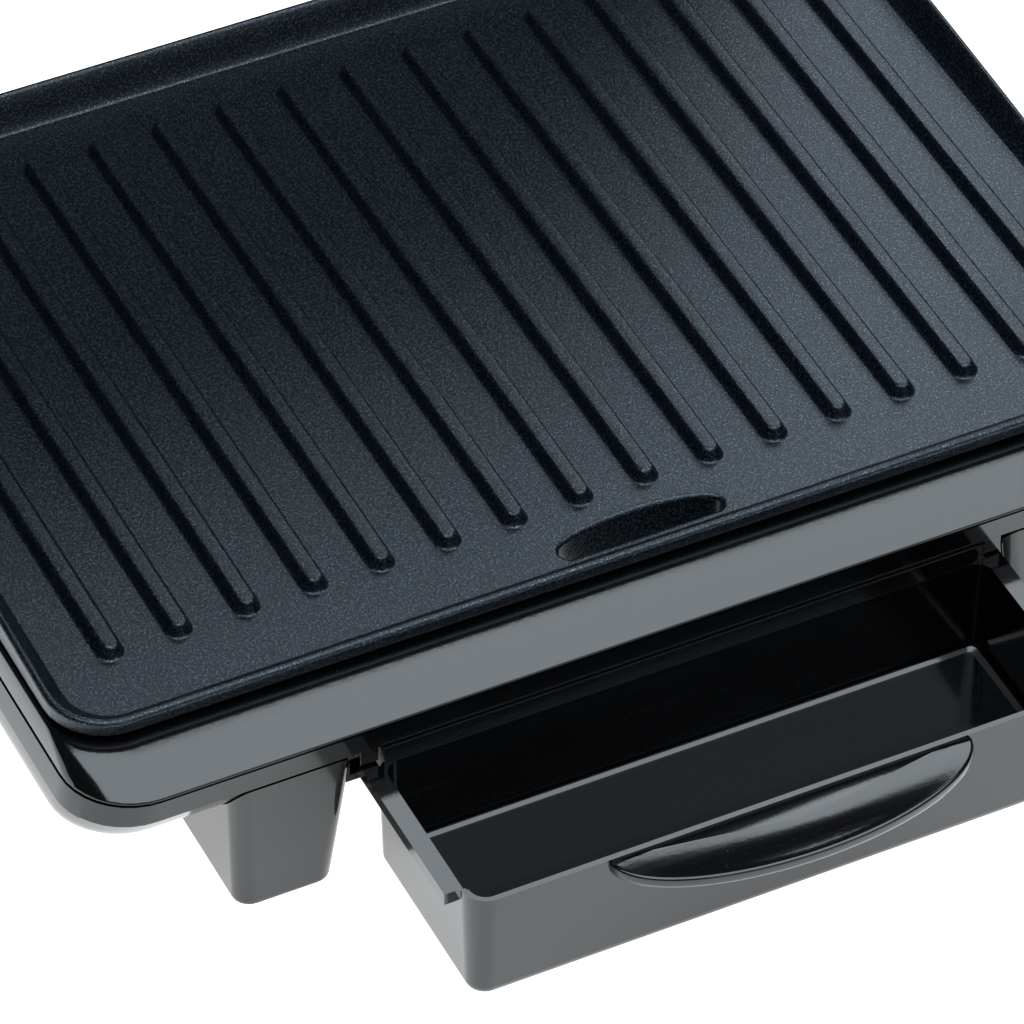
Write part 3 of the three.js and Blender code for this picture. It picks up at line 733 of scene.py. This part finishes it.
def tray_rails(sizes):
    """Channels that carry the runners of the tray."""
    e = Extent("right_tray_rail")
    behind_foot, beside_foot = e.y0 + 2.7, e.x0 + 4.4
    web = block(e.x1 - 2.5, e.x1, behind_foot, e.y1, e.z0, e.z1)
    lip = block(e.x0 + 3, e.x1 - 1, behind_foot, e.y1, e.z0, e.z0 + 2)
    tab = block(e.x0, e.x1 - 1, behind_foot, e.y1, TRAY_RIM - 2.5, e.z1)
    nose = block(e.x0, beside_foot, e.y0, behind_foot + 1, TRAY_RIM - 2.5, e.z1)
    right = join(web, lip, tab, nose)
    right.name = "right_rail"
    soften(right, 0.35)
    left = mirrored(right, "left_rail")
    place(right, "base", ["right_tray_rail"], "gloss_plastic")
    place(left, "base", ["left_tray_rail"], "gloss_plastic")


def base_screws(sizes):
    """Domed screws with a cross recess, seen from below."""
    for spot in ("front_left", "front_right", "rear_left", "rear_right"):
        e = Extent(f"base_screw_{spot}")
        r, x, y = (e.x1 - e.x0) / 2, (e.x0 + e.x1) / 2, (e.y0 + e.y1) / 2
        high = e.z1 - e.z0
        turns = [math.pi / 2 * i / 7 for i in range(8)]
        profile = [(r * math.sin(a) + 0.02, e.z0 + high * 0.8 * (1 - math.cos(a))) for a in turns]
        head = lathe([*profile, (r, e.z1)], "z", (x, y), f"screw_{spot}")
        cross = ((1.9, 0.35), (0.35, 1.9))
        bars = [block(x - a, x + a, y - b, y + b, e.z0 - 1, e.z0 + 0.8) for a, b in cross]
        place(cut(head, *bars), "base", [f"base_screw_{spot}"], "bright_steel")


def cord_gland(sizes):
    """Bush in the back wall for the mains lead."""
    e = Extent("cord_gland")
    z = (e.z0 + e.z1) / 2
    wall = BAND.y1 + 0.3
    outer = [(5.6, e.y0), (6, e.y0 + 0.4), (6, wall), (8.4, wall)]
    outer += [(9, wall + 0.6), (9, wall + 3.1), (8.4, wall + 3.7), (6.3, wall + 3.9)]
    for k in range(3):
        y = wall + 4.6 + k * 2.0
        outer += [(6.0, y), (5.5, y + 0.3), (5.5, y + 0.9), (6.0, y + 1.2)]
    outer += [(5.6, e.y1), (4.2, e.y1), (3.6, e.y1 - 0.5), (3.6, e.y0)]
    bm = bmesh.new()
    turns = [math.tau * i / 48 for i in range(48)]
    loops = [[(r * math.cos(t), y, z + r * math.sin(t)) for t in turns] for r, y in outer]
    weave(bm, loops, low=False, high=False, closed=True)
    place(to_object("lead_bush", bm), "base", ["cord_gland"], "rubber")


# ---------- drip tray ----------
def tray_rows(inset, bottom, top):
    """Loops of the tray, outside or inside its wall."""
    floor = (3.4, 3.0, 2.6, 3.2, bottom)
    turn = (1.6, 1.1, 1.3, 4.4, bottom + 0.9)
    side = (1.1, 0.55, 0.95, 5.0, bottom + 2.6)
    rows = []
    for a, b, c, r, z in [*smooth([floor, turn, side], 4), (0, 0, 0, 6, top)]:
        ends = (TRAY_FRONT + b + inset, TRAY_BACK - c - inset)
        rows.append(level(TRAY_HALF - a - inset, *ends, r - inset, z, steps=7))
    return rows


def tray_tongue():
    """Grip on the front of the tray: a half-moon with a rolled edge and a crowned top."""
    half = 2.73 * PITCH
    root = TRAY_FRONT + 0.9
    reach = root - TRAY.y0
    turns = [math.pi + math.pi * i / 40 for i in range(41)]
    outline = [(half * math.cos(t), root + reach * math.sin(t)) for t in turns]
    outline += [(half, root + 0.6), (-half, root + 0.6)]
    top, thick, crown = TRAY_RIM, 4.0, 1.1
    rows = ((0.6, -thick), (0.15, 0.3 - thick), (0, 0.9 - thick))
    rows += tuple((inset, drop - crown) for inset, drop in ((0, -0.8), (0.15, -0.3), (0.5, -0.05), (0.9, 0)))
    loops = [[(x, y, top + z) for x, y in grow(outline, -inset)] for inset, z in rows]
    middle, rim = root - 0.45 * reach, grow(outline, -1.2)
    for i in range(12):
        share = 1 - 0.97 * i / 11
        loops.append([(x * share, middle + (y - middle) * share, top - crown * share**2) for x, y in rim])
    return skin(loops)


def drip_tray(sizes):
    """Drip tray: thin walls, side runners, a stepped front rim and the grip."""
    side_top = TRAY_RIM - 3.3
    outside = skin(tray_rows(0, TRAY.z0, TRAY_RIM), "drip_pan")
    runners = []
    for _, side in SIDES:
        xs = sorted((side * (TRAY_HALF - 1.6), side * TRAY.x1))
        runners.append(block(*xs, TRAY_FRONT + 9, TRAY.y1, side_top - 3.3, side_top))
    inside = skin(tray_rows(TRAY_WALL, TRAY.z0 + TRAY_WALL, TRAY_RIM + 0.5))
    low = block(-90, 90, TRAY_FRONT + 6, TRAY_BACK + 5, side_top, TRAY_RIM + 2)
    step = (TRAY_HALF - 1.2, TRAY_FRONT + 1.1, TRAY_FRONT + 9, 3.6)
    ledge = skin([level(*step, TRAY_RIM - 0.7), level(*step, TRAY_RIM + 1)])
    pan = cut(join(outside, *runners), inside, low, ledge)
    face = TRAY_BACK - 0.1
    upright = (side_top - 4, TRAY.z1)
    tall = block(-BACK_WALL_HALF, BACK_WALL_HALF, face - TRAY_WALL, face, *upright)
    lips = []
    for _, side in SIDES:
        xs = sorted((side * (BACK_WALL_HALF - TRAY_WALL), side * BACK_WALL_HALF))
        lips.append(block(*xs, face - 1, face + 5, *upright))
    pan = join(pan, tall, *lips)
    soften(pan, 0.35)
    place(gather(pan, tray_tongue()), "tray", ["drip_tray"], "gloss_plastic", sharp=50)


# ---------- floating hinge ----------
def hinge_posts(sizes):
    """Posts with an upright slot for the sliding axle."""
    e = Extent("right_hinge_post")
    slide = Extent("right_hinge_slider")
    lift = next(j for j in frame["joints"] if j["name"] == "hinge_lift")["range_m"][1] / MM
    rows = [
        ring(e.x0, e.x1, e.y0, e.y1, 3, e.z0),
        ring(e.x0, e.x1, e.y0 + 4, e.y1, 3, e.z1 - 3),
        ring(e.x0 + 2, e.x1 - 2, e.y0 + 7, e.y1 - 2, 3, e.z1),
    ]
    front, back = slide.y0 - CLEARANCE, slide.y1 + CLEARANCE
    low, high = slide.z0 - 0.4, slide.z1 + lift + 0.4
    corners = [(front, low, 1.5), (back, low, 1.5), (back, high, 1.5), (front, high, 1.5)]
    slot = prism(fillet(corners), "x", e.x0 - 5, e.x1 + 5)
    right = cut(skin(rows, "right_post"), slot)
    soften(right, 0.9)
    left = mirrored(right, "left_post")
    place(right, "base", ["right_hinge_post"], "satin_plastic")
    place(left, "base", ["left_hinge_post"], "satin_plastic")


def hinge_sliders(sizes):
    """Guide blocks that run in the slots, bored for the axle."""
    e = Extent("right_hinge_slider")
    y, z = (e.y0 + e.y1) / 2, (e.z0 + e.z1) / 2
    slider = block(e.x0, e.x1, e.y0, e.y1, e.z0, e.z1)
    slider.name = "right_guide"
    right = cut(slider, lathe([(AXLE_BORE, e.x0 - 5), (AXLE_BORE, e.x1 + 5)], "x", (y, z)))
    soften(right, 0.6)
    left = mirrored(right, "left_guide")
    place(right, "hinge_carriage", ["right_hinge_slider"], "satin_plastic")
    place(left, "hinge_carriage", ["left_hinge_slider"], "satin_plastic")


def hinge_pins(sizes):
    """Axles with a domed head outside each arm."""
    e = Extent("right_hinge_pin")
    middle = ((e.y0 + e.y1) / 2, (e.z0 + e.z1) / 2)
    r, head = 4.0, (e.y1 - e.y0) / 2
    profile = [(3.2, e.x0), (r, e.x0 + 0.8), (r, e.x1 - 1.7), (head, e.x1 - 1.7), (head, e.x1 - 0.9)]
    turns = [math.pi / 2 * i / 6 for i in range(1, 7)]
    profile += [(head * math.cos(a) + 0.02, e.x1 - 0.9 + 0.9 * math.sin(a)) for a in turns]
    right = lathe(profile, "x", middle, "right_axle")
    left = mirrored(right, "left_axle")
    place(right, "hinge_carriage", ["right_hinge_pin"], "bright_steel")
    place(left, "hinge_carriage", ["left_hinge_pin"], "bright_steel")


# ---------- lid ----------
def lid_band(sizes):
    """Frame round the upper plate."""
    e = LID_RING
    keys = smooth([(3, 4, 3, 14, e.z0), (0.9, 1.2, 0.9, 16.2, e.z0 + 1.6), (0, 0, 0, 17, e.z0 + 3.5)], 4)
    keys.append((0, 0, 0, 17, e.z1))
    rows = [level(e.x1 - a, e.y0 + b, e.y1 - c, r, z) for a, b, c, r, z in keys]
    well = (TOP_PLATE.x1 + 0.6, TOP_PLATE.y0 - 0.6, TOP_PLATE.y1 + 0.6, 14)
    rows += [level(*well, e.z1), level(*well, e.z0)]
    band = skin(rows, "lid_band", low=False, high=False, closed=True)
    place(band, "lid", ["lid_frame"], "gloss_plastic", edge=0.6, lid=True)


def hood_loops(inset):
    """Loops of the lid cover, from its rim to its crown."""
    e = LID_HOOD
    keys = [
        (0, 0, 0, 17, e.z0),
        (0.8, 3, 1, 17, 22 - inset * 0.1),
        (5, 17, 5, 17, 33 - inset * 0.4),
        (14, 36, 13, 18, 41 - inset * 0.8),
        (28, 58, 27, 18, e.z1 - inset),
    ]
    rows = []
    for a, b, c, r, z in smooth(keys, 5):
        rows.append(level(e.x1 - a - inset, e.y0 + b + inset, e.y1 - c - inset, max(r - inset, 3), z))
    return rows


def lid_cover(sizes):
    """Domed cover of the lid, with two lamp holes."""
    hood = skin(hood_loops(0), "lid_hood")
    inner_rows = hood_loops(2.5)
    inner = skin([[(x, y, z - 2) for x, y, z in inner_rows[0]], *inner_rows])
    holes = []
    for lamp in ("power_lamp", "ready_lamp"):
        e = Extent(lamp, lid=True)
        holes.append(lathe([(4.3, e.z0 - 4), (4.3, e.z1 + 4)], "z", ((e.x0 + e.x1) / 2, (e.y0 + e.y1) / 2)))
    place(cut(hood, inner, *holes), "lid", ["lid_cover"], "gloss_plastic", edge=0.5, lid=True)


def arm_outline():
    """Side view of an arm: round eye at the hinge, a straight run and a round end at the handle."""
    bar = Extent("handle_bar", lid=True)
    by, bz = (bar.y0 + bar.y1) / 2, (bar.z0 + bar.z1) / 2
    eye_turns = [math.radians(-118 + 208 * i / 24) for i in range(25)]
    tip_turns = [math.radians(48 + 192 * i / 20) for i in range(21)]
    eye = [(ARM_EYE * math.cos(a), ARM_EYE * math.sin(a)) for a in eye_turns]
    tip = [(by + ARM_TIP * math.cos(a), bz + ARM_TIP * math.sin(a)) for a in tip_turns]
    upper = [(-10, 17), (-18, 23), (-28, 26.4), (-100, 28.3), (-188, 30), (-200, 31.5)]
    lower = [(-194, 14), (-186, 12.9), (-34, 10), (-24, 7.6), (-14, 0)]
    return eye + upper + tip + lower


def arms(sizes):
    """Arms that join the lid to its axles and carry the handle."""
    e = Extent("left_arm", lid=True)
    inner, outer = -e.x1, -e.x0
    for hand, side in (("right", 1), ("left", -1)):
        arm = prism(arm_outline(), "x", outer - 8, outer, f"{hand}_lid_arm")
        pads = [lathe([(8, inner), (8, outer - 6)], "x", (y, 20)) for y in (-60, -180)]
        bore = lathe([(AXLE_BORE, inner - 8), (AXLE_BORE, outer + 8)], "x", (0, 0))
        arm = cut(join(arm, *pads), bore)
        if hand == "right":
            arm = cut(arm, lathe([(6.3, outer - 6), (6.3, outer + 4)], "x", (-48, 20)))
        soften(arm, 1.3, 4)
        if side < 0:
            twin = mirrored(arm, "left_lid_arm_turned")
            bpy.data.objects.remove(arm)
            twin.name = "left_lid_arm"
            arm = twin
        place(arm, "lid", [f"{hand}_arm"], "gloss_plastic", lid=True)


def handle_bar(sizes):
    """Oval grip between the arms, slightly fuller in the middle."""
    e = Extent("handle_bar", lid=True)
    y, z = (e.y0 + e.y1) / 2, (e.z0 + e.z1) / 2
    a, b = (e.y1 - e.y0) / 2, (e.z1 - e.z0) / 2
    turns = [math.tau * k / 40 for k in range(40)]
    loops = []
    for i in range(25):
        t = i / 24
        x = e.x0 + (e.x1 - e.x0) * t
        size = 0.90 + 0.10 * math.sin(math.pi * t) ** 0.6
        if i in (0, 24):
            size *= 0.97
        loops.append([(x, y + a * size * math.cos(s), z + b * size * math.sin(s)) for s in turns])
    place(skin(loops, "handle_grip"), "lid", ["handle_bar"], "satin_plastic", lid=True)


def handle_caps(sizes):
    """Round caps over the ends of the handle."""
    e = Extent("right_handle_cap", lid=True)
    middle = ((e.y0 + e.y1) / 2, (e.z0 + e.z1) / 2)
    r = (e.y1 - e.y0) / 2
    profile = [(r, e.x0), (r, e.x0 + 0.9), (r - 0.4, e.x0 + 1.25), (r - 1.3, e.x0 + 1.3)]
    profile += [(r - 1.5, e.x0 + 1.5), (r - 1.6, e.x1 - 0.5), (r - 2.1, e.x1 - 0.1), (r - 3, e.x1)]
    profile += [(2, e.x1 - 0.25), (0.3, e.x1 - 0.3)]
    right = lathe(profile, "x", middle, "right_cap")
    left = mirrored(right, "left_cap")
    place(right, "lid", ["right_handle_cap"], "satin_plastic", lid=True)
    place(left, "lid", ["left_handle_cap"], "satin_plastic", lid=True)


def lamps(sizes):
    """Two round lamp lenses in the cover."""
    for node, finish in (("power_lamp", "red_lens"), ("ready_lamp", "green_lens")):
        e = Extent(node, lid=True)
        r, middle = (e.x1 - e.x0) / 2, ((e.x0 + e.x1) / 2, (e.y0 + e.y1) / 2)
        profile = [(r, e.z0), (r, e.z1 - 1.0)]
        turns = [math.pi / 2 * i / 8 for i in range(1, 9)]
        profile += [(r * math.cos(a) + 0.02, e.z1 - 1 + math.sin(a)) for a in turns]
        place(lathe(profile, "z", middle, f"{node}_lens"), "lid", [node], finish, lid=True)


def release_button(sizes):
    """Push button that frees the hinge, with a dished face."""
    e = Extent("hinge_release_button", lid=True)
    r, middle = (e.y1 - e.y0) / 2, ((e.y0 + e.y1) / 2, (e.z0 + e.z1) / 2)
    profile = [(r, e.x0), (r, e.x1 - 0.8), (r - 0.25, e.x1 - 0.25), (r - 0.8, e.x1)]
    profile += [(r - 1.6, e.x1 - 0.15), (r - 3.4, e.x1 - 0.6), (0.3, e.x1 - 0.75)]
    knob = lathe(profile, "x", middle, "release_knob")
    place(knob, "release", ["hinge_release_button"], "satin_plastic", lid=True)


# ---------- pieces inside the housings ----------
INNER_FINISHES = {
    "lower_heater": "bright_steel",
    "upper_heater": "bright_steel",
    "lower_reflector": "reflector_sheet",
    "upper_reflector": "reflector_sheet",
    "lower_thermostat": "ceramic_body",
    "upper_thermostat": "ceramic_body",
    "thermal_fuse": "bright_steel",
    "terminal_block": "ceramic_body",
}


def inner_pieces(sizes):
    """Heaters, reflectors, thermostats, fuse and terminal block: the frame's own shapes, edges rounded."""
    for node, finish in INNER_FINISHES.items():
        obj = frame["nodes"][node]
        obj.data.materials.clear()
        obj.data.materials.append(finish_of(finish))
        obj.modifiers.new("weld", "WELD").merge_threshold = 1e-6
        edge = obj.modifiers.new("edge", "BEVEL")
        edge.width, edge.segments = 0.0004, 2
        edge.limit_method, edge.angle_limit = "ANGLE", math.radians(40)


# ---------- stage ----------
COOL = (0.93, 0.99, 1.03)
WHITE = (1, 1, 1, 1)
OVERHEAD_PLACE = (0.1, -0.72, 1.7)  # metres
OVERHEAD_AIM = (0.1, -0.72, 0)
OVERHEAD_SIZE = (2.6, 1.8)
BACK_PLACE = (0.73, 1.45, 1.5)
BACK_AIM = (0, -0.1, 0.05)
BACK_SIZE = (1.6, 1.0)
FRONT_PLACE = (0.5, -2.0, 0.9)
FRONT_AIM = (0, 0, 0.05)
FRONT_SIZE = (1.6, 0.8)
CAMERA_LENS = 246.07
CAMERA_ANGLES = (-27.22, 43.78, 1.33)  # degrees round to the side, up and rolled
CAMERA_DISTANCE = 1.5734
CAMERA_AIM = (-24.1, RIB_FRONT + 5.2, FLOOR)  # millimetres


def area_light(name, place_at, aim, size, strength, color=(1, 1, 1)):
    """Soft box at a place in metres that looks at its aim."""
    data = bpy.data.lights.new(name, "AREA")
    data.shape = "RECTANGLE"
    data.size, data.size_y = size
    data.energy = strength * size[0] * size[1] * math.pi
    data.color = color
    obj = bpy.data.objects.new(name, data)
    obj.location = place_at
    obj.rotation_mode = "QUATERNION"
    obj.rotation_quaternion = (Vector(aim) - Vector(place_at)).to_track_quat("-Z", "Y")
    bpy.context.scene.collection.objects.link(obj)


def build_stage(stage):
    """Pale floor, soft light and the camera."""
    paint = Paint("pale_floor", Roughness=0.6)
    low, high = tint((0.56, 0.56, 0.56)), tint((0.60, 0.60, 0.60))
    paint.feed("Base Color", paint.mix(paint.noise(3, 2), low, high))
    size = stage.floor_size / 2
    paint.shader.inputs["Emission Color"].default_value = WHITE
    paint.shader.inputs["Emission Strength"].default_value = stage.floor_glow
    mesh = bpy.data.meshes.new("floor")
    corners = [(-size, -size, 0), (size, -size, 0), (size, size, 0), (-size, size, 0)]
    mesh.from_pydata(corners, [], [(0, 1, 2, 3)])
    mesh.materials.append(paint.material)
    floor = bpy.data.objects.new("floor", mesh)
    bpy.context.scene.collection.objects.link(floor)

    world = bpy.data.worlds.new("studio")
    world.use_nodes = True
    background = world.node_tree.nodes["Background"]
    background.inputs["Color"].default_value = WHITE
    background.inputs["Strength"].default_value = stage.ambient
    bpy.context.scene.world = world
    area_light("overhead_box", OVERHEAD_PLACE, OVERHEAD_AIM, OVERHEAD_SIZE, stage.overhead, COOL)
    area_light("back_box", BACK_PLACE, BACK_AIM, BACK_SIZE, stage.back, COOL)
    area_light("front_box", FRONT_PLACE, FRONT_AIM, FRONT_SIZE, stage.front)

    camera = bpy.data.cameras.new("camera")
    camera.sensor_width, camera.lens = 36, CAMERA_LENS
    camera.clip_start, camera.clip_end = 0.05, 50
    aim = Vector(CAMERA_AIM) * MM
    side, rise, roll = (math.radians(a) for a in CAMERA_ANGLES)
    back = Vector((math.sin(side) * math.cos(rise), -math.cos(side) * math.cos(rise), math.sin(rise)))
    obj = bpy.data.objects.new("camera", camera)
    obj.location = aim + back * CAMERA_DISTANCE
    turn = (-back).to_track_quat("-Z", "Y").to_matrix() @ Matrix.Rotation(roll, 3, "Z")
    obj.rotation_mode = "QUATERNION"
    obj.rotation_quaternion = turn.to_quaternion()
    bpy.context.scene.collection.objects.link(obj)
    bpy.context.scene.camera = obj
    bpy.context.scene.view_settings.view_transform = "Standard"


# ---------- the add-on ----------
def length(name, description, default):
    values = {"name": name, "description": description, "default": default}
    return bpy.props.FloatProperty(**values, min=0.0, unit="LENGTH")


def amount(name, description, default):
    return bpy.props.FloatProperty(name=name, description=description, default=default, min=0)


def colour(name, description, default):
    values = {"name": name, "description": description, "default": default}
    return bpy.props.FloatVectorProperty(**values, size=3, min=0.0, max=1.0, subtype="COLOR")


class GrillSizes(bpy.types.PropertyGroup):
    """Sizes that may change without touching the frame."""

    rib_width: length("Rib width", "Width of a rib at its foot", 0.0054)
    rib_height: length("Rib height", "Height of a rib above the floor of its plate", 0.0032)
    edge: length("Edge rounding", "Rounding of the edges of the frame round the lower plate", 0.0007)


class GrillColours(bpy.types.PropertyGroup):
    """Colours of the finishes."""

    gloss: colour("Gloss", "Polished plastic", (0.0010, 0.0011, 0.0014))
    satin: colour("Satin", "Grained plastic", (0.016, 0.016, 0.018))
    coating: colour("Coating", "Non-stick coating of the plates", (0.0014, 0.0024, 0.0040))
    fleck: colour("Fleck", "Metal flecks in the coating", (0.11, 0.135, 0.165))
    rubber: colour("Rubber", "Foot pads and cord bush", (0.02, 0.02, 0.021))
    steel: colour("Steel", "Axles, screws and heating elements", (0.52, 0.53, 0.55))
    sheet: colour("Sheet", "Reflectors under the heating elements", (0.70, 0.71, 0.72))
    ceramic: colour("Ceramic", "Thermostats and terminal block", (0.72, 0.69, 0.62))
    power_lens: colour("Power lens", "Lens of the power lamp", (0.55, 0.03, 0.02))
    ready_lens: colour("Ready lens", "Lens of the ready lamp", (0.04, 0.34, 0.08))


class GrillStage(bpy.types.PropertyGroup):
    """Light and floor of the studio."""

    floor_size: length("Floor", "Width of the floor", 14.0)
    floor_glow: amount("Floor glow", "Light that the floor gives of itself", 1.25)
    ambient: amount("Ambient", "Strength of the light from all round", 0.05)
    overhead: amount("Overhead", "Brightness of the overhead soft box", 4.2)
    back: amount("Back", "Brightness of the back soft box", 3.9)
    front: amount("Front", "Brightness of the front soft box", 1.0)


BUILDERS = {
    "lower_plate": lower_plate,
    "upper_plate": upper_plate,
    "base_band": base_band,
    "base_shell": base_shell,
    "bottom_cover": bottom_cover,
    "feet": feet,
    "foot_pads": foot_pads,
    "tray_rails": tray_rails,
    "base_screws": base_screws,
    "cord_gland": cord_gland,
    "drip_tray": drip_tray,
    "hinge_posts": hinge_posts,
    "hinge_sliders": hinge_sliders,
    "hinge_pins": hinge_pins,
    "lid_band": lid_band,
    "lid_cover": lid_cover,
    "arms": arms,
    "handle_bar": handle_bar,
    "handle_caps": handle_caps,
    "lamps": lamps,
    "release_button": release_button,
    "inner_pieces": inner_pieces,
}


def operator_for(name, build):
    """Operator that builds one group of pieces."""

    def execute(self, context):
        build(context.scene.grill_sizes)
        return {"FINISHED"}

    members = {
        "__doc__": build.__doc__,
        "bl_idname": f"grill.{name}",
        "bl_label": name.replace("_", " ").capitalize(),
        "bl_options": {"REGISTER", "UNDO"},
        "execute": execute,
    }
    return type(f"GRILL_OT_{name}", (bpy.types.Operator,), members)


class GRILL_OT_stage(bpy.types.Operator):
    """Build the floor, the lights and the camera."""

    bl_idname = "grill.stage"
    bl_label = "Stage"

    def execute(self, context):
        build_stage(context.scene.grill_stage)
        return {"FINISHED"}


class GRILL_PT_panel(bpy.types.Panel):
    """Sidebar panel with every step and value."""

    bl_idname = "GRILL_PT_panel"
    bl_label = "Contact grill"
    bl_space_type = "VIEW_3D"
    bl_region_type = "UI"
    bl_category = "Grill"

    def draw(self, context):
        layout = self.layout
        for name in (*BUILDERS, "stage"):
            layout.operator(f"grill.{name}")
        for group in ("grill_sizes", "grill_colours", "grill_stage"):
            values = getattr(context.scene, group)
            for key in values.__annotations__:
                layout.prop(values, key)


GROUPS = {"grill_sizes": GrillSizes, "grill_colours": GrillColours, "grill_stage": GrillStage}
OPERATORS = [operator_for(name, build) for name, build in BUILDERS.items()] + [GRILL_OT_stage]


def register():
    for cls in (*GROUPS.values(), *OPERATORS, GRILL_PT_panel):
        bpy.utils.register_class(cls)
    for name, group in GROUPS.items():
        setattr(bpy.types.Scene, name, bpy.props.PointerProperty(type=group))


def unregister():
    for name in GROUPS:
        delattr(bpy.types.Scene, name)
    for cls in reversed((*GROUPS.values(), *OPERATORS, GRILL_PT_panel)):
        bpy.utils.unregister_class(cls)


def main():
    register()
    for name in (*BUILDERS, "stage"):
        getattr(bpy.ops.grill, name)()


if __name__ == "__main__":
    main()
